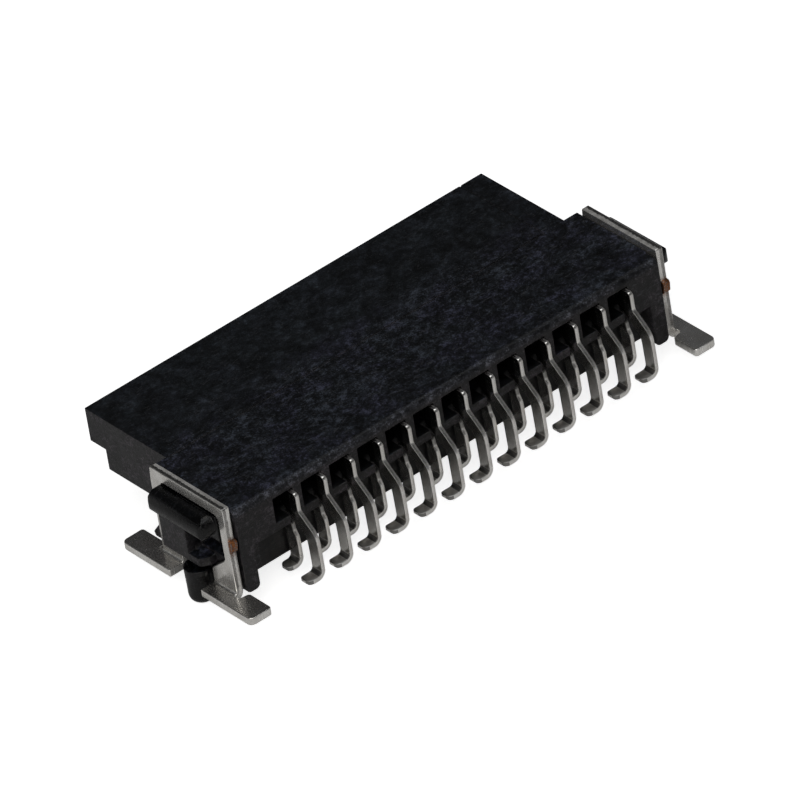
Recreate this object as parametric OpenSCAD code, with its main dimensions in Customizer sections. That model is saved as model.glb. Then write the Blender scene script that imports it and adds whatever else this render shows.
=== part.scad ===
/* [Contacts] */
// Number of contacts in each of the two rows
ways = 13; // [13]
// Distance between neighbouring contacts along the length
pitch = 1.27; // [1.27:0.01:1.29]
// Thickness of the sheet that the contacts are stamped from
sheet = 0.17; // [0.15:0.01:0.18]
// Distance from a contact's grid line to the middle of its sheet
sheet_off = 0.45; // [0.44:0.01:0.46]
// Width of a contact leg, seen from the end of the connector
leg_w = 0.52; // [0.45:0.01:0.55]
// Rear edge of the outer row of legs, behind the line of the pegs
outer_leg_y = 3.24; // [3.20:0.01:3.40]
// Rear edge of the inner row of legs, behind the line of the pegs
inner_leg_y = 2.05; // [2.03:0.01:2.10]
// How far a contact foot reaches past its grid line, under the next slot
foot_reach = 0.23; // [0.20:0.01:0.28]

/* [Housing] */
// Height of the top face above the board
top_z = 3.64; // [3.64:0.01:3.80]
// Half of the length over the end blocks
end_x = 9.69; // [9.69:0.01:9.70]
// Half of the length of the front block that plugs in
block_x = 9.08; // [9.00:0.01:9.12]
// Front face of the block, ahead of the line of the pegs
nose_y = 6.90; // [6.60:0.05:7.40]
// Front face of the end blocks, ahead of the line of the pegs
flange_y = 2.35; // [2.30:0.01:2.45]
// Rear face of the comb, behind the line of the pegs
rear_y = 2.08; // [2.05:0.01:2.10]
// Underside of the front block above the board
block_z = 1.38; // [1.30:0.01:1.40]
// Underside of the base above the board
base_z = 0.32; // [0.31:0.01:0.40]
// Lower edge of the comb at the rear
comb_z = 1.92; // [1.91:0.01:1.97]
// Bottom of the rear slots, the top of the strip across the comb
slot_z0 = 2.25; // [2.24:0.01:2.30]
// Top of the rear slots
slot_z1 = 3.27; // [3.26:0.01:3.30]
// Depth of the two notches at the lower front corners
notch_d = 0.85; // [0.60:0.05:1.20]
// Height of the top of those notches above the board
notch_z = 2.23; // [2.10:0.01:2.30]

/* [Pegs] */
// Diameter of a locating peg
peg_d = 1.00; // [0.90:0.02:1.00]
// Distance between the middles of the two pegs
peg_span = 20.20; // [20.16:0.02:20.20]
// How far the pegs reach below the board plane
peg_drop = 0.72; // [0.70:0.02:1.20]

/* [Hold-downs] */
// Thickness of the sheet that the hold-downs are stamped from
clip_t = 0.30; // [0.25:0.01:0.30]
// Inner face of the hold-down plate, from the middle of the connector
clip_x = 9.71; // [9.71:0.01:9.72]
// Half of the width of the hold-down plate
clip_y = 1.96; // [1.90:0.01:2.00]
// Top edge of the hold-down plate above the board
clip_z = 3.90; // [3.80:0.01:4.00]
// Rear end of the rear foot, behind the line of the pegs
foot_rear = 3.46; // [3.20:0.01:3.60]
// Front end of the front foot, ahead of the line of the pegs
foot_front = 3.68; // [3.40:0.01:3.80]
// Outer edge of the feet, from the middle of the connector
foot_x = 10.64; // [10.50:0.01:10.70]

/* [Hidden] */

plastic = [0.11, 0.11, 0.13];
tin = [0.72, 0.71, 0.69];

// grid line of contact i, counted from 0 at the left end
function gx(i) = pitch * (i - (ways - 1) / 2);
// points on an arc
function arc(cx, cy, r, a0, a1, n = 6) = [for (i = [0:n]) let (a = a0 + (a1 - a0) * i / n) [cx + r * cos(a), cy + r * sin(a)]];

s0 = sheet_off - sheet / 2;       // faces of the contact sheet, from the grid line
s1 = sheet_off + sheet / 2;
base_rear = 1.42;                 // rear face of the base, behind the pegs
base_w = 9.64;                    // half-length of the comb and the cheeks
up_z = 2.98;                      // middle of the upper row of cavities
low_z = 1.83;                     // middle of the lower row of cavities
pin_x = 0.10;                     // middle of an opening, from the grid line
cav0 = -0.15;                     // sides of a cavity, from the grid line
cav1 = s1 + 0.02;
bend_r = 0.18;                    // inner radius of the bend above a contact foot
boss_top = 3.40;                  // top of the bar of the boss
boss_z0 = 1.00;                   // foot of the boss
peg_top = 0.74;                   // shoulder of a peg, under the boss
peg_x = peg_span / 2;
e = 0.01;

// a (y, z) outline extruded along the length from x0 to x1
module along_x(x0, x1) translate([x0, 0, 0]) rotate([90, 0, 90]) linear_extrude(x1 - x0) children();
// an (x, z) outline extruded from y0 to y1
module along_y(y0, y1) translate([0, y1, 0]) rotate([90, 0, 0]) linear_extrude(y1 - y0) children();
module box(a, b) translate(a) cube(b - a);

// the peg: rounded tip, straight shank below the board plane and a drafted root up to its shoulder
module peg() {
  r = peg_d / 2;
  translate([peg_x, 0, 0]) rotate_extrude($fn = 64)
    polygon(concat([[0, -peg_drop]], arc(r - 0.34, -peg_drop + 0.34, 0.34, -90, 0, 6), [[r, -0.03], [r + 0.02, peg_top], [0, peg_top]]));
  // narrow stem that joins the shoulder to the boss above it
  box([end_x - 0.2, -0.34, peg_top - 0.05], [9.99, 0.52, boss_z0 + 0.1]);
}

// head and neck on the end wall that pass through the hold-down's window
module boss() {
  hx0 = clip_x + clip_t + 0.02;   // back of the head, just clear of the plate
  difference() {
    union() {
      // neck through the window, narrowing with it towards the bottom
      along_x(end_x - 0.3, hx0 + 0.02)
        polygon([[-0.78, boss_z0], [1.00, boss_z0], [1.47, 1.54], [1.52, 1.68], [1.52, boss_top - 0.02],
          [-1.46, boss_top - 0.02], [-1.52, 3.1], [-1.52, 1.68], [-1.44, 1.54]]);
      // bar of the head: its section, cut to its plan and to its side view, both rounded at the rear
      intersection() {
        along_y(-2, 2)
          polygon([[hx0, 2.38], [10.38, 2.38], [10.60, 2.64], [10.67, 2.74], [10.70, 2.86], [10.69, 3.06], [10.62, 3.22], [10.51, 3.34], [10.38, boss_top], [hx0, boss_top]]);
        linear_extrude(5)
          polygon(concat([[hx0 - 1, 1.56], [hx0 - 1, -1.7], [10.20, -1.7]], arc(10.34, -1.10, 0.36, -90, 0, 8), [[10.70, 1.48], [10.62, 1.56]]));
        along_x(9, 11)
          polygon(concat([[1.60, 2.3], [1.60, 3.5], [-1.17, 3.5]], arc(-1.02, 2.97, 0.44, 108, 245, 12), [[-0.90, 2.46], [-0.84, 2.3]]));
      }
      // web under the front half of the bar
      box([hx0, 0.05, boss_z0], [10.36, 1.50, 2.6]);
      // lip that runs on from the foot of the web, under the pocket
      translate([0, 0, boss_z0]) linear_extrude(1.34 - boss_z0)
        polygon([[hx0, 0.10], [10.36, 0.10], [10.36, -0.46], [10.33, -0.53], [10.24, -0.61], [10.12, -0.67], [hx0, -0.71]]);
    }
    // pocket behind the web, open to the rear
    along_x(clip_x + 0.04, 11)
      polygon(concat([[-1.9, 2.38], [-1.9, 0.80], [-0.78, 0.80], [-0.71, 1.34], [-0.14, 1.34]], arc(-0.14, 1.53, 0.19, -90, 0, 5), [[0.05, 2.38]]));
  }
}

// deeper part of the pocket, in the end block itself
module pocket()
  along_x(9.36, 9.9) polygon(concat(arc(-1.13, 1.55, 0.12, 180, 270, 3), arc(-0.07, 1.55, 0.12, 270, 360, 3), [[0.05, 2.30], [-1.25, 2.30]]));

// end cheek, rounded at its lower end
module cheek() {
  w = base_w - 9.05;
  along_y(-rear_y, -base_rear + 0.2) union() {
    translate([9.05, 0.16 + w / 3]) square([w, 2.0 - w / 3]);
    for (x = [9.05 + w / 3, base_w - w / 3]) translate([x, 0.16 + w / 3]) circle(r = w / 3, $fn = 32);
    translate([9.05 + w / 3, 0.16]) square([w / 3, w]);
  }
}

// everything that is the same at both ends
module housing_end() {
  cheek();
  boss();
  peg();
  // small sloping foot under the flange
  along_x(9.08, end_x - 0.02)
    polygon([[1.4, base_z], [2.95, base_z], [3.03, 0.49], [2.49, 1.14], [2.30, block_z + 0.1], [1.4, block_z + 0.1]]);
}

module housing() {
  color(plastic) difference() {
    union() {
      // end blocks and the body between them
      along_x(-end_x, end_x)
        polygon([[-base_rear, base_z], [flange_y, base_z], [flange_y, top_z], [-base_rear, top_z]]);
      // comb across the rear, rounded along its top edge
      along_x(-base_w, base_w)
        polygon(concat([[-base_rear + e, comb_z], [-base_rear + e, top_z]],
          arc(-rear_y + 0.30, top_z - 0.30, 0.30, 90, 180, 8), [[-rear_y, comb_z]]));
      // front block that plugs in
      box([-block_x, flange_y - 0.2, block_z], [block_x, nose_y, top_z]);
      housing_end();
      mirror([1, 0, 0]) housing_end();
    }
    for (i = [0:ways - 1]) translate([gx(i), 0, 0]) {
      // rear slot that the upper leg leaves by
      box([-0.35, -rear_y - 0.2, slot_z0], [cav1, -0.90, slot_z1]);
      // long cavities for the two contacts
      box([cav0, -1.0, up_z - 0.29], [cav1, nose_y - 0.55, slot_z1]);
      box([cav0, -1.30, low_z - 0.28], [cav1, nose_y - 0.55, low_z + 0.28]);
      box([cav0, -base_rear - 0.1, low_z - 0.38], [cav1, -1.25, comb_z]);
      // openings in the front face
      box([pin_x - 0.26, nose_y - 0.60, up_z - 0.26], [pin_x + 0.26, nose_y + 0.1, up_z + 0.26]);
      box([pin_x - 0.26, nose_y - 0.60, low_z - 0.25], [pin_x + 0.26, nose_y + 0.1, low_z + 0.25]);
      // channel that lets the contact sheets in from below, past the end of the strip
      box([s0 - 0.09, -rear_y - 0.2, comb_z - 0.1], [cav1, -base_rear, slot_z0 + 0.1]);
    }
    // lead-ins round the openings
    for (z = [up_z, low_z]) intersection() {
      along_x(-end_x, end_x)
        polygon([[nose_y - 0.13, z - 0.25], [nose_y + 0.01, z - 0.33], [nose_y + 0.2, z - 0.33], [nose_y + 0.2, z + 0.33], [nose_y + 0.01, z + 0.33], [nose_y - 0.13, z + 0.25]]);
      for (i = [0:ways - 1]) translate([gx(i) + pin_x, 0, 0]) linear_extrude(top_z)
        polygon([[-0.26, nose_y - 0.13], [-0.40, nose_y + 0.01], [-0.40, nose_y + 0.2], [0.40, nose_y + 0.2], [0.40, nose_y + 0.01], [0.26, nose_y - 0.13]]);
    }
    pocket();
    mirror([1, 0, 0]) pocket();
    // notches at the lower front corners, which set which way up it mates
    for (s = [-1, 1]) translate([s * 9.2, nose_y, 0])
      box([-0.85, -notch_d, block_z - 1], [0.85, 1, notch_z]);
    // fine moulded lines on the top, across the front block and along it
    box([-9.0, flange_y - 0.08, top_z - 0.03], [8.12, flange_y - 0.02, top_z + 1]);
    box([8.05, flange_y - 0.08, top_z - 0.04], [8.12, nose_y + 0.1, top_z + 1]);
  }
}

// contact foot: the sheet bent flat towards the left, (x, z) outline from y0 to y1, with a rounded tip
// that reaches past the grid line; rf rounds its front corner
module foot(y0, y1, reach, rf) {
  ri = bend_r;
  ro = ri + sheet;
  cx = s1 - ro;
  intersection() {
    along_y(y0, y1)
      polygon(concat([[s0, ro + 0.05]], arc(cx, ro, ri, 0, -90, 6), [[-reach, sheet], [-reach, 0.05], [-reach + 0.05, 0]],
        arc(cx, ro, ro, -90, 0, 8), [[s1, ro + 0.05]]));
    linear_extrude(2) polygon(concat(arc(-reach + 0.25, y0 + 0.25, 0.25, 270, 180, 8), arc(-reach + rf, y1 - rf, rf, 180, 90, 5), [[1, y1], [1, y0]]));
  }
}

// front part of a contact: a side beam pressed in towards the opening, its tip turned back out
module beam(z) {
  translate([0, 0, z - 0.17]) linear_extrude(0.34)
    polygon([[s1, 3.2], [s1, 3.7], [s1 - 0.13, 4.75], [s1 - 0.13, 5.05], [s1 - 0.03, 5.55], [s1 - 0.08, 5.70], [s1 - 0.22, 5.62],
      [s0 - 0.13, 5.15], [s0 - 0.16, 4.95], [s0 - 0.13, 4.70], [s0, 3.65], [s0, 3.2]]);
}

module upper_contact(i) {
  r = outer_leg_y;
  f = r - leg_w;
  k = 2.405;                      // rear edge of the short upright below the shoulder
  z0 = bend_r + sheet;
  color(tin) translate([gx(i), 0, 0]) {
    along_x(s0, s1) polygon(concat(
      [[-r, z0], [-f, z0], [-f + 0.02, 1.25], [-f + 0.04, 1.40], [-f + 0.09, 1.53], [-f + 0.17, 1.64], [-1.30, 2.67], [-1.20, 2.74]],
      [[0.2, 2.74], [0.3, 2.695], [0.7, 2.74], [2.2, 2.74], [2.6, up_z - 0.17], [3.3, up_z - 0.17], [3.3, up_z + 0.17], [2.6, up_z + 0.17],
       [2.2, 3.20], [0.7, 3.20], [0.3, 3.255], [0.2, 3.20], [-2.24, 3.20]],
      arc(-k + 0.15, 3.05, 0.15, 90, 180, 5),
      [[-k, 2.54], [-k - 0.03, 2.46], [-r + 0.19, 1.94], [-r + 0.10, 1.79], [-r + 0.058, 1.70], [-r + 0.03, 1.60], [-r + 0.015, 1.50], [-r + 0.005, 1.25], [-r, 0.90]]));
    foot(-r, -f, foot_reach, 0.12);
    beam(up_z);
  }
}

module lower_contact(i) {
  r = inner_leg_y;
  f = r - leg_w;
  z0 = bend_r + sheet;
  color(tin) translate([gx(i), 0, 0]) {
    along_x(s0, s1) polygon(concat(
      [[-r, z0], [-f, z0], [-f, 1.18], [-f + 0.02, 1.34], [-f + 0.07, 1.48], [-f + 0.17, 1.57], [-f + 0.28, 1.60]],
      [[0.2, 1.60], [0.3, 1.555], [0.7, 1.60], [2.2, 1.60], [2.6, low_z - 0.17], [3.3, low_z - 0.17], [3.3, low_z + 0.17], [2.6, low_z + 0.17],
       [2.2, 2.05], [0.7, 2.05], [0.3, 2.105], [0.2, 2.05], [-1.22, 2.05], [-1.22, 1.80]],
      arc(-r + 0.34, 1.62, 0.18, 90, 180, 6),
      [[-r + 0.15, 1.52], [-r + 0.13, 1.42], [-r + 0.095, 1.345], [-r + 0.045, 1.27], [-r + 0.015, 1.17], [-r + 0.005, 1.05], [-r, 0.90]]));
    foot(-r, -f, foot_reach - 0.06, 0.22);
    beam(low_z);
  }
}

// one foot of a hold-down, its bend from y0 to y1 and its free end at y2
module clip_foot(y0, y1, y2) {
  ri = 0.10;
  ro = ri + clip_t;
  cx = clip_x + ro;
  lo = min(y0, y1);
  hi = max(y0, y1);
  d = sign(y2);
  // the bend
  along_y(lo, hi)
    polygon(concat([[clip_x, ro + 0.06]], arc(cx, ro, ro, 180, 270, 8), [[cx + 0.2, 0], [cx + 0.2, clip_t]], arc(cx, ro, ri, 270, 180, 6), [[clip_x + clip_t, ro + 0.06]]));
  // the flat, with a relief beside the bend and rounded free corners
  linear_extrude(clip_t) polygon(concat(
    [[cx, y0], [foot_x, y0]],
    d > 0 ? arc(foot_x - 0.22, y2 - 0.22, 0.22, 0, 90, 5) : arc(foot_x - 0.22, y2 + 0.22, 0.22, 0, -90, 5),
    d > 0 ? arc(9.68 + 0.12, y2 - 0.12, 0.12, 90, 180, 4) : arc(9.68 + 0.12, y2 + 0.12, 0.12, -90, -180, 4),
    [[9.68, y1 + d * 0.34], [9.74, y1 + d * 0.26], [cx - 0.08, y1 + d * 0.22], [cx, y1 + d * 0.14]]));
}

module hold_down() {
  leg = 0.37;                     // width of the narrow part of a leg
  in = clip_y - leg;
  front = clip_y + 0.17;          // the front edge stands a little further out than the rear one
  color(tin) {
    along_x(clip_x, clip_x + clip_t) polygon(concat(
      [[-clip_y, 0.42], [-0.72, 0.42], [-0.72, 0.84], [-0.76, 0.93], [-in + 0.08, 1.52], [-in, 1.66]],
      arc(-in + 0.22, 3.48 - 0.22, 0.22, 180, 90, 5), arc(in - 0.22, 3.48 - 0.22, 0.22, 90, 0, 5),
      [[in, 1.66], [in - 0.05, 1.54], [1.05, 0.99], [1.00, 0.90], [1.00, 0.42], [front, 0.42], [front, 3.30], [front - 0.03, 3.65]],
      arc(front - 0.11, clip_z - 0.06, 0.06, 0, 90, 3), arc(-clip_y + 0.06, clip_z - 0.06, 0.06, 90, 180, 3),
      // stub where the leg was broken from its carrier strip
      [[-clip_y, 2.58], [-clip_y - 0.13, 2.55], [-clip_y - 0.16, 2.44], [-clip_y - 0.12, 2.12], [-clip_y, 2.02]]));
    clip_foot(-0.72, -clip_y, -foot_rear);
    clip_foot(1.00, front, foot_front);
  }
}

module hold_down_right() hold_down();
module hold_down_left() mirror([1, 0, 0]) hold_down();

housing();
hold_down_left();
hold_down_right();
upper_contact(0);  // upper_contact_01
upper_contact(1);  // upper_contact_02
upper_contact(2);  // upper_contact_03
upper_contact(3);  // upper_contact_04
upper_contact(4);  // upper_contact_05
upper_contact(5);  // upper_contact_06
upper_contact(6);  // upper_contact_07
upper_contact(7);  // upper_contact_08
upper_contact(8);  // upper_contact_09
upper_contact(9);  // upper_contact_10
upper_contact(10);  // upper_contact_11
upper_contact(11);  // upper_contact_12
upper_contact(12);  // upper_contact_13
lower_contact(0);  // lower_contact_01
lower_contact(1);  // lower_contact_02
lower_contact(2);  // lower_contact_03
lower_contact(3);  // lower_contact_04
lower_contact(4);  // lower_contact_05
lower_contact(5);  // lower_contact_06
lower_contact(6);  // lower_contact_07
lower_contact(7);  // lower_contact_08
lower_contact(8);  // lower_contact_09
lower_contact(9);  // lower_contact_10
lower_contact(10);  // lower_contact_11
lower_contact(11);  // lower_contact_12
lower_contact(12);  // lower_contact_13
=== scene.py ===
import math

import bpy
from mathutils import Matrix, Vector


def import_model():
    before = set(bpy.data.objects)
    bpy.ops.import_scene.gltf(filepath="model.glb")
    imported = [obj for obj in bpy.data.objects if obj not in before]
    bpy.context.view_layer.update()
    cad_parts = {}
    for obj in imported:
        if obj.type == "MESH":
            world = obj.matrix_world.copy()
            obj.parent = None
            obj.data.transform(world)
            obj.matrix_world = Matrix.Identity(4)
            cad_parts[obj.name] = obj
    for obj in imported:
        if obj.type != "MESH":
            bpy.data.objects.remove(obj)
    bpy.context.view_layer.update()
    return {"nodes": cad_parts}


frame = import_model()
nodes = frame["nodes"]
MM = 0.001

PITCH = 1.27
WAYS = 13
SHEET = 0.17
SHEET_OFF = 0.45


# ------------------------------------------------------------------ node helpers
class Mat:
    """A material with short calls for its nodes. Lengths in its textures are in millimetres."""

    def __init__(self, name):
        self.m = bpy.data.materials.new(name)
        self.m.use_nodes = True
        self.t = self.m.node_tree
        self.t.nodes.clear()
        self.out = self.t.nodes.new("ShaderNodeOutputMaterial")
        self.b = self.t.nodes.new("ShaderNodeBsdfPrincipled")
        self.t.links.new(self.b.outputs[0], self.out.inputs[0])
        tc = self.t.nodes.new("ShaderNodeTexCoord")
        self.mm = self.vec("SCALE", tc.outputs["Object"], 1000.0)
        geo = self.t.nodes.new("ShaderNodeNewGeometry")
        self.normal = geo.outputs["True Normal"]
        sep = self.t.nodes.new("ShaderNodeSeparateXYZ")
        self.link(self.mm, sep.inputs[0])
        self.x, self.y, self.z = sep.outputs
        sepn = self.t.nodes.new("ShaderNodeSeparateXYZ")
        self.link(self.normal, sepn.inputs[0])
        self.nx, self.ny, self.nz = sepn.outputs

    def link(self, a, b):
        self.t.links.new(a, b)

    def put(self, value, socket):
        if isinstance(value, bpy.types.NodeSocket):
            self.link(value, socket)
        else:
            socket.default_value = value

    def vec(self, op, a, b=None):
        n = self.t.nodes.new("ShaderNodeVectorMath")
        n.operation = op
        self.put(a, n.inputs[0])
        if op == "SCALE":
            self.put(b, n.inputs[3])
        elif b is not None:
            self.put(b, n.inputs[1])
        return n.outputs[0]

    def math(self, op, a, b=0.0, c=0.0, clamp=False):
        n = self.t.nodes.new("ShaderNodeMath")
        n.operation = op
        n.use_clamp = clamp
        self.put(a, n.inputs[0])
        self.put(b, n.inputs[1])
        self.put(c, n.inputs[2])
        return n.outputs[0]

    def range(self, v, a, b, c=0.0, d=1.0, smooth=True):
        n = self.t.nodes.new("ShaderNodeMapRange")
        n.interpolation_type = "SMOOTHSTEP" if smooth else "LINEAR"
        self.put(v, n.inputs[0])
        for i, w in enumerate((a, b, c, d)):
            self.put(w, n.inputs[i + 1])
        return n.outputs[0]

    def noise(self, scale, detail=2.0, rough=0.5, stretch=None, offset=None, distort=0.0):
        p = self.mm
        if offset is not None:
            p = self.vec("ADD", p, offset)
        if stretch is not None:
            p = self.vec("MULTIPLY", p, stretch)
        n = self.t.nodes.new("ShaderNodeTexNoise")
        n.inputs["Scale"].default_value = scale
        n.inputs["Detail"].default_value = detail
        n.inputs["Roughness"].default_value = rough
        n.inputs["Distortion"].default_value = distort
        self.link(p, n.inputs["Vector"])
        return n.outputs[0]

    def voronoi(self, scale, stretch=None, feature="F1", out="Distance", rand=1.0):
        p = self.mm if stretch is None else self.vec("MULTIPLY", self.mm, stretch)
        n = self.t.nodes.new("ShaderNodeTexVoronoi")
        n.feature = feature
        n.inputs["Scale"].default_value = scale
        n.inputs["Randomness"].default_value = rand
        self.link(p, n.inputs["Vector"])
        return n.outputs[out]

    def mix(self, f, a, b):
        n = self.t.nodes.new("ShaderNodeMix")
        n.data_type = "RGBA"
        self.put(f, n.inputs[0])
        for v, s in ((a, n.inputs[6]), (b, n.inputs[7])):
            self.put((*v, 1.0) if isinstance(v, tuple) else v, s)
        return n.outputs[2]

    def mixf(self, f, a, b):
        n = self.t.nodes.new("ShaderNodeMix")
        n.data_type = "FLOAT"
        self.put(f, n.inputs[0])
        self.put(a, n.inputs[2])
        self.put(b, n.inputs[3])
        return n.outputs[0]

    def bump(self, height, strength, depth_mm, normal=None):
        n = self.t.nodes.new("ShaderNodeBump")
        n.inputs["Strength"].default_value = strength
        n.inputs["Distance"].default_value = depth_mm * MM
        self.put(height, n.inputs["Height"])
        if normal is not None:
            self.link(normal, n.inputs["Normal"])
        return n.outputs[0]


# ------------------------------------------------------------------ materials
def plastic():
    m = Mat("housing_black")
    up = m.range(m.nz, 0.45, 0.9)
    # broad clouds and streaks of the moulding skin, from where the melt flowed
    warp = m.noise(0.5, 2.0, 0.5)
    cloud = m.noise(0.42, 3.0, 0.55, stretch=(0.8, 1.0, 1.0), distort=0.7)
    cloud2 = m.noise(1.3, 3.0, 0.55, offset=(17.0, 3.0, 8.0), distort=0.5)
    grain = m.noise(5.0, 4.0, 0.66, stretch=(0.8, 1.0, 1.0), distort=0.3)
    grit = m.noise(16.0, 3.0, 0.70)
    # short fibres near the skin, painted as light flecks: partly the fibres' own colour, partly painted glints
    f1 = m.noise(8.0, 2.0, 0.5, stretch=(0.45, 1.3, 1.3), offset=(3.0, 1.0, 2.0), distort=0.8)
    f2 = m.noise(12.0, 2.0, 0.5, stretch=(1.0, 0.5, 1.0), offset=(31.0, 7.0, 3.0), distort=0.8)
    fibre = m.math("MAXIMUM", m.range(f1, 0.60, 0.74), m.range(f2, 0.62, 0.76))
    # the rear half of the top is rougher than the band along the front
    zone = m.range(m.math("ADD", m.y, m.math("MULTIPLY_ADD", warp, 2.4, -1.2)), 3.4, 2.0, 0.45, 1.0)
    zone = m.mixf(up, 0.95, zone)
    # the shade of the skin, as a power of two summed over the sizes of its detail
    blotch = m.noise(2.6, 3.0, 0.6, offset=(5.0, 11.0, 2.0), distort=0.6)
    e = m.math("MULTIPLY", m.math("SUBTRACT", cloud, 0.5), 3.4)
    e = m.math("ADD", e, m.math("MULTIPLY", m.math("SUBTRACT", cloud2, 0.5), 6.0))
    e = m.math("ADD", e, m.math("MULTIPLY", m.math("SUBTRACT", blotch, 0.5), 5.0))
    fine = m.math("ADD", m.math("MULTIPLY", m.math("SUBTRACT", grain, 0.5), 11.5), m.math("MULTIPLY", m.math("SUBTRACT", grit, 0.5), 12.5))
    e = m.math("ADD", e, m.math("MULTIPLY", fine, zone))
    e = m.math("MULTIPLY", e, m.mixf(up, 0.95, 1.0))
    t = m.math("MINIMUM", m.math("POWER", 2.0, e), 6.0)
    tint = m.range(m.noise(0.8, 2.0, 0.5, offset=(9.0, 4.0, 1.0), distort=0.6), 0.42, 0.62)
    top = m.mix(tint, (0.0086, 0.0102, 0.0135), (0.0098, 0.0104, 0.0164))
    # the band along the front of the top is a little darker and greener
    front = m.range(m.y, 3.2, 3.8)
    top = m.mix(m.math("MULTIPLY", front, 0.8), top, (0.0062, 0.0078, 0.0098))
    # the rounded rear edge is painted lighter
    rim = m.math("MULTIPLY", m.range(m.y, -1.82, -1.98), m.range(m.z, 3.35, 3.45))
    # painted light and shade: the sides get a lighter, warmer colour than the top, and the faces that look to the
    # rear are painted darker than the other sides
    side = m.mix(m.range(m.ny, -0.4, -0.9), (0.0124, 0.0112, 0.0126), (0.0094, 0.0081, 0.0094))
    base = m.mix(up, side, top)
    base = m.mix(m.math("MULTIPLY", rim, 0.6), base, (0.022, 0.023, 0.027))
    base = m.vec("SCALE", base, t)
    # painted glints: the fibre flecks are mixed in lighter, more strongly on the top than on the sides
    fibre_fleck_glint = m.math("MULTIPLY", m.math("MULTIPLY", fibre, zone), m.mixf(up, 0.30, 0.50))
    base = m.mix(fibre_fleck_glint, base, (0.070, 0.073, 0.085))
    # the bars and pegs at the ends are smooth, and their colour is darkened as painted shade; painted shade also
    # darkens the walls inside the slots
    ax = m.math("ABSOLUTE", m.x)
    smooth_ends_painted_shade = m.math("MULTIPLY", m.range(ax, 9.76, 9.80), m.math("MAXIMUM", m.range(m.z, 2.30, 2.40), m.range(m.z, 0.80, 0.74)))
    slot_painted_shade = m.math("MULTIPLY", m.range(ax, 8.45, 8.40), m.math("MULTIPLY", m.range(m.y, -2.07, -2.03), m.range(m.y, 6.87, 6.80)))
    slot_painted_shade = m.math("MULTIPLY", slot_painted_shade, m.math("MULTIPLY", m.range(m.z, 3.32, 3.28), m.range(m.z, 0.33, 0.36)))
    slot_painted_shade = m.math("MULTIPLY", slot_painted_shade, m.range(m.nz, -0.9, -0.5))
    base = m.vec("SCALE", base, m.math("MULTIPLY", m.math("MULTIPLY_ADD", smooth_ends_painted_shade, -0.88, 1.0), m.math("MULTIPLY_ADD", slot_painted_shade, -0.88, 1.0)))
    m.link(base, m.b.inputs["Base Color"])
    rough = m.math("MULTIPLY", m.math("ADD", grain, cloud2), m.mixf(up, 0.48, 0.38))
    rough = m.math("MULTIPLY", rough, m.math("MULTIPLY_ADD", smooth_ends_painted_shade, -0.35, 1.0))
    m.link(rough, m.b.inputs["Roughness"])
    m.b.inputs["Specular IOR Level"].default_value = 0.36
    h = m.math("MULTIPLY_ADD", grit, 0.5, m.math("ADD", grain, m.math("MULTIPLY", fibre, 0.4)))
    n1 = m.bump(h, 1.0, 0.010)
    m.link(n1, m.b.inputs["Normal"])
    return m.m


def tin(name, copper=None, stripes=None, torn_color=(0.20, 0.19, 0.18), torn_mix=0.45, torn_rough=0.45, smooth=0.10, shade=None, pale=None):
    m = Mat(name)
    tone = m.noise(2.2, 3.0, 0.6)
    fine = m.noise(22.0, 3.0, 0.6)
    drawn = m.noise(10.0, 2.0, 0.5, stretch=(1.0, 1.0, 0.08))
    base = m.mix(m.range(tone, 0.35, 0.65), (0.82, 0.795, 0.755), (0.95, 0.93, 0.895))
    rough = m.math("MULTIPLY_ADD", m.math("ADD", m.math("MULTIPLY", fine, 0.35), drawn), 0.14, smooth)
    metal = None
    if stripes is not None:
        # sheared edges: a smooth band where the punch entered and a torn, darker band beyond it
        t, top = stripes(m)
        torn = m.math("MULTIPLY", t, m.range(m.noise(26.0, 3.0, 0.75), 0.34, 0.60, 0.25, 1.0))
        base = m.mix(m.math("MULTIPLY", torn, torn_mix), base, torn_color)
        rough = m.mixf(torn, rough, torn_rough)
        if top is not None:
            # the burnished half of the top edge is dull and pale
            dull = m.math("MULTIPLY", m.math("MULTIPLY", top, m.math("SUBTRACT", 1.0, t)), m.range(tone, 0.30, 0.60, 0.6, 1.0))
            metal = m.math("MULTIPLY_ADD", dull, -0.32, 1.0)
            rough = m.mixf(dull, rough, 0.45)
    if copper is not None:
        c = copper(m)
        speck = m.noise(14.0, 3.0, 0.7)
        c = m.math("MULTIPLY", c, m.range(speck, 0.36, 0.52, 0.7, 1.0))
        cu = m.mix(m.range(speck, 0.38, 0.66), (0.085, 0.030, 0.012), (0.36, 0.135, 0.045))
        base = m.mix(c, base, cu)
        rough = m.mixf(c, rough, 0.45)
    if shade is not None:
        d, dr = shade(m)
        base = m.vec("SCALE", base, d)
        rough = m.mixf(dr, rough, 0.42)
    if pale is not None:
        metal = m.math("SUBTRACT", 1.0 if metal is None else metal, pale(m), clamp=True)
    m.link(base, m.b.inputs["Base Color"])
    m.link(rough, m.b.inputs["Roughness"])
    if metal is None:
        m.b.inputs["Metallic"].default_value = 1.0
    else:
        m.link(metal, m.b.inputs["Metallic"])
    n1 = m.bump(fine, 0.06, 0.006)
    n2 = m.bump(drawn, 0.06, 0.006, n1)
    m.link(n2, m.b.inputs["Normal"])
    return m.m


def contact_stripes(m):
    # place within the thickness of the contact sheet, 0 at its left face
    u = m.math("ADD", m.x, PITCH * (WAYS - 1) / 2 - (SHEET_OFF - SHEET / 2) + PITCH)
    u = m.math("DIVIDE", m.math("MODULO", u, PITCH), SHEET)
    edge = m.range(m.math("ABSOLUTE", m.nx), 0.5, 0.2)
    leg = m.math("MULTIPLY", edge, m.range(m.z, 0.40, 0.46))
    return m.math("MULTIPLY", m.range(u, 0.45, 0.62), leg), None


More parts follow.
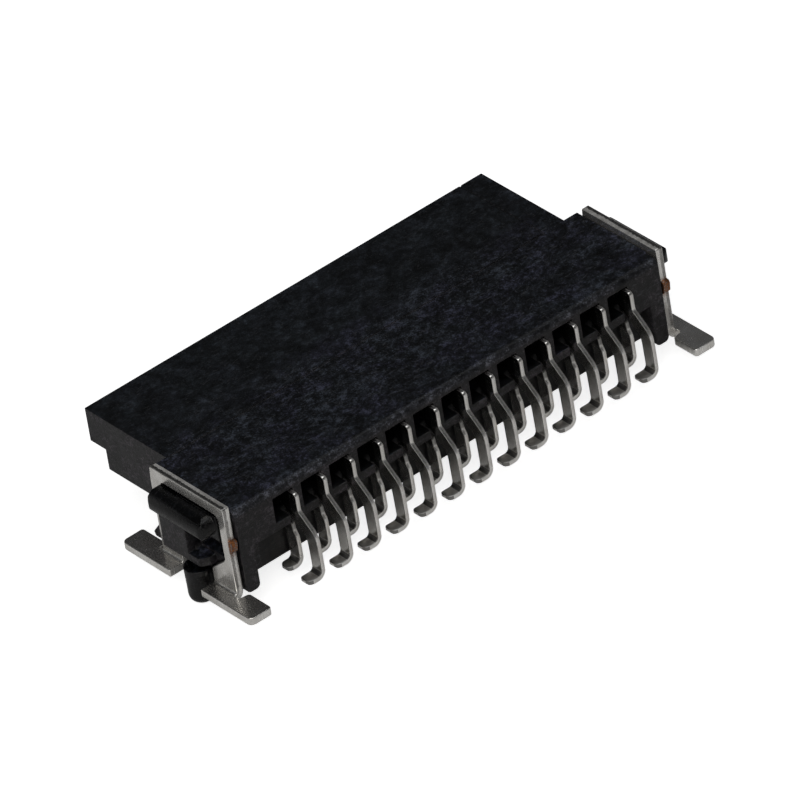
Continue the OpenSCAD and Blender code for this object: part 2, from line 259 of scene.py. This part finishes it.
def contact_shade(m):
    # painted shade over the shoulder of the inner legs, and painted shade on the metal inside the slots
    shoulder_painted_shade = m.math("MULTIPLY", m.math("MULTIPLY", m.range(m.z, 1.40, 1.50), m.range(m.z, 2.00, 1.92)), m.range(m.y, -2.25, -2.15))
    inside_slot_painted_shade = m.math("MULTIPLY", m.range(m.y, -2.06, -1.98), m.range(m.z, 2.20, 2.30))
    # the rolled left edge of the sheet is rough, and its colour is darkened as painted shade
    rolled_edge_rough_and_shaded = m.math("MULTIPLY", m.range(m.nx, -0.15, -0.30), m.range(m.nx, -0.985, -0.95))
    d = m.math("MULTIPLY", m.math("MULTIPLY_ADD", shoulder_painted_shade, -0.62, 1.0), m.math("MULTIPLY_ADD", inside_slot_painted_shade, -0.6, 1.0))
    d = m.math("MULTIPLY", d, m.math("MULTIPLY_ADD", rolled_edge_rough_and_shaded, -0.70, 1.0))
    return d, m.math("MAXIMUM", m.math("MULTIPLY", rolled_edge_rough_and_shaded, 0.6), m.range(m.z, 0.40, 0.34, 0.0, 0.55))


def clip_stripes(m):
    u = m.math("DIVIDE", m.math("SUBTRACT", m.math("ABSOLUTE", m.x), 9.71), 0.30)
    edge = m.range(m.math("ABSOLUTE", m.nx), 0.5, 0.2)
    above = m.range(m.z, 0.5, 0.6)
    ragged = m.math("MULTIPLY_ADD", m.noise(7.0, 3.0, 0.7), 0.5, -0.25)
    t = m.math("MULTIPLY", m.math("MULTIPLY", m.range(m.math("ADD", u, ragged), 0.44, 0.56), edge), above)
    return t, m.math("MULTIPLY", m.range(m.nz, 0.3, 0.7), above)


def clip_copper(m):
    # bare metal on the rear edge of the leg, where it was broken from its strip
    a = m.range(m.y, -1.93, -1.99)
    b = m.math("MULTIPLY", m.range(m.z, 1.75, 2.0), m.range(m.z, 2.75, 2.6))
    return m.math("MULTIPLY", a, b)


def contact_pale(m):
    # the plating is matt on the sheared edges of the legs that look to the rear
    return m.math("MULTIPLY", m.range(m.ny, -0.6, -0.9), 0.12)


def clip_pale(m):
    # the plating is matt on the rear edges of the legs, and a little on the outer faces and the feet
    rear = m.math("MULTIPLY", m.range(m.ny, -0.6, -0.9), 0.28)
    out = m.math("MULTIPLY", m.nx, m.math("SIGN", m.x))
    outer = m.math("ADD", m.math("MULTIPLY", m.range(out, 0.6, 0.9), 0.17), m.math("MULTIPLY", m.range(out, -0.6, -0.9), 0.08))
    foot = m.math("MULTIPLY", m.math("MULTIPLY", m.range(m.nz, 0.5, 0.8), m.range(m.z, 0.5, 0.4)), 0.04)
    return m.math("ADD", m.math("ADD", rear, outer), foot)


black = plastic()
tin_contact = tin("contact_tin_satin", stripes=contact_stripes, torn_mix=0.20, smooth=0.11, shade=contact_shade, pale=contact_pale)
tin_clip = tin("hold_down_tin_satin", copper=clip_copper, stripes=clip_stripes, torn_color=(0.07, 0.065, 0.06), torn_mix=0.90, torn_rough=0.32, smooth=0.16, pale=clip_pale)


def soften(ob, width_mm, segments=2, angle=28.0):
    w = ob.modifiers.new("join", "WELD")
    w.merge_threshold = 2e-7
    d = ob.modifiers.new("flats", "DECIMATE")
    d.decimate_type = "DISSOLVE"
    d.angle_limit = math.radians(0.4)
    b = ob.modifiers.new("edges", "BEVEL")
    b.width = width_mm * MM
    b.segments = segments
    b.limit_method = "ANGLE"
    b.angle_limit = math.radians(angle)
    b.use_clamp_overlap = False
    b.loop_slide = False
    b.harden_normals = False
    n = ob.modifiers.new("shade", "WEIGHTED_NORMAL")
    n.keep_sharp = False
    n.weight = 100


for name, ob in nodes.items():
    mat = black if name == "housing" else (tin_clip if name.startswith("hold") else tin_contact)
    ob.data.materials.clear()
    ob.data.materials.append(mat)
    if name == "housing":
        soften(ob, 0.030, 2)
    elif name.startswith("hold"):
        soften(ob, 0.030, 2)
    else:
        soften(ob, 0.015, 2)

# ------------------------------------------------------------------ camera
cam_data = bpy.data.cameras.new("camera")
cam_data.sensor_width = 36.0
cam_data.lens = 617.923
cam_data.clip_start = 0.05
cam_data.clip_end = 10.0
cam = bpy.data.objects.new("camera", cam_data)
bpy.context.scene.collection.objects.link(cam)
right = Vector((0.7616477, -0.6331680, -0.1378082))
upv = Vector((0.4567265, 0.3736928, 0.8073132))
back = Vector((-0.4596669, -0.6778289, 0.5738069))
pos = Vector((-0.21975407, -0.32309867, 0.27591294))
cam.matrix_world = Matrix((
    (right.x, upv.x, back.x, pos.x),
    (right.y, upv.y, back.y, pos.y),
    (right.z, upv.z, back.z, pos.z),
    (0, 0, 0, 1)))
bpy.context.scene.camera = cam

# ------------------------------------------------------------------ floor and light
FLOOR_Z = -0.74 * MM


def floor():
    me = bpy.data.meshes.new("floor")
    h = 0.35
    me.from_pydata([(-h, -h, FLOOR_Z), (h, -h, FLOOR_Z), (h, h, FLOOR_Z), (-h, h, FLOOR_Z)], [], [(0, 1, 2, 3)])
    ob = bpy.data.objects.new("floor", me)
    bpy.context.scene.collection.objects.link(ob)
    m = Mat("floor_white")
    speck = m.noise(0.35, 3.0, 0.5)
    base = m.mix(speck, (0.86, 0.86, 0.86), (0.90, 0.90, 0.90))
    m.link(base, m.b.inputs["Base Color"])
    m.b.inputs["Roughness"].default_value = 0.9
    m.b.inputs["Specular IOR Level"].default_value = 0.0
    m.b.inputs["Emission Color"].default_value = (1, 1, 1, 1)
    # the floor is seen as white paper, and only its own soft light falls back on the part
    lp = m.t.nodes.new("ShaderNodeLightPath")
    m.link(m.math("MULTIPLY", lp.outputs["Is Camera Ray"], 0.80), m.b.inputs["Emission Strength"])
    me.materials.append(m.m)


def area(name, loc, target, size, power, color=(1, 1, 1)):
    d = bpy.data.lights.new(name, "AREA")
    d.shape = "RECTANGLE"
    d.size, d.size_y = size
    d.energy = power
    d.color = color
    ob = bpy.data.objects.new(name, d)
    ob.location = loc
    ob.rotation_euler = (Vector(target) - Vector(loc)).to_track_quat("-Z", "Y").to_euler()
    bpy.context.scene.collection.objects.link(ob)
    return ob


def world():
    w = bpy.data.worlds.new("studio")
    bpy.context.scene.world = w
    w.use_nodes = True
    t = w.node_tree
    t.nodes.clear()
    out = t.nodes.new("ShaderNodeOutputWorld")
    seen = t.nodes.new("ShaderNodeBackground")
    seen.inputs[0].default_value = (1.0, 1.0, 1.0, 1)
    seen.inputs[1].default_value = 1.0
    lit = t.nodes.new("ShaderNodeBackground")
    tc = t.nodes.new("ShaderNodeTexCoord")
    sep = t.nodes.new("ShaderNodeSeparateXYZ")
    t.links.new(tc.outputs["Generated"], sep.inputs[0])
    ramp = t.nodes.new("ShaderNodeMapRange")
    ramp.interpolation_type = "SMOOTHSTEP"
    t.links.new(sep.outputs[2], ramp.inputs[0])
    for i, v in enumerate((-0.05, 0.30, 0.26, 0.052)):
        ramp.inputs[i + 1].default_value = v
    t.links.new(ramp.outputs[0], lit.inputs[1])
    lit.inputs[0].default_value = (0.95, 0.97, 1.0, 1)
    lp = t.nodes.new("ShaderNodeLightPath")
    mix = t.nodes.new("ShaderNodeMixShader")
    t.links.new(lp.outputs["Is Camera Ray"], mix.inputs[0])
    t.links.new(lit.outputs[0], mix.inputs[1])
    t.links.new(seen.outputs[0], mix.inputs[2])
    t.links.new(mix.outputs[0], out.inputs[0])


floor()
world()
area("key", (-0.30, -0.25, 0.36), (0, 0, 0), (0.45, 0.32), 1.15, (1.0, 0.99, 0.97))
area("overhead", (0.08, -0.06, 0.50), (0, 0, 0), (0.30, 0.30), 0.35, (0.97, 0.985, 1.0))

bpy.context.scene.view_settings.view_transform = "Standard"
bpy.context.scene.view_settings.look = "None"
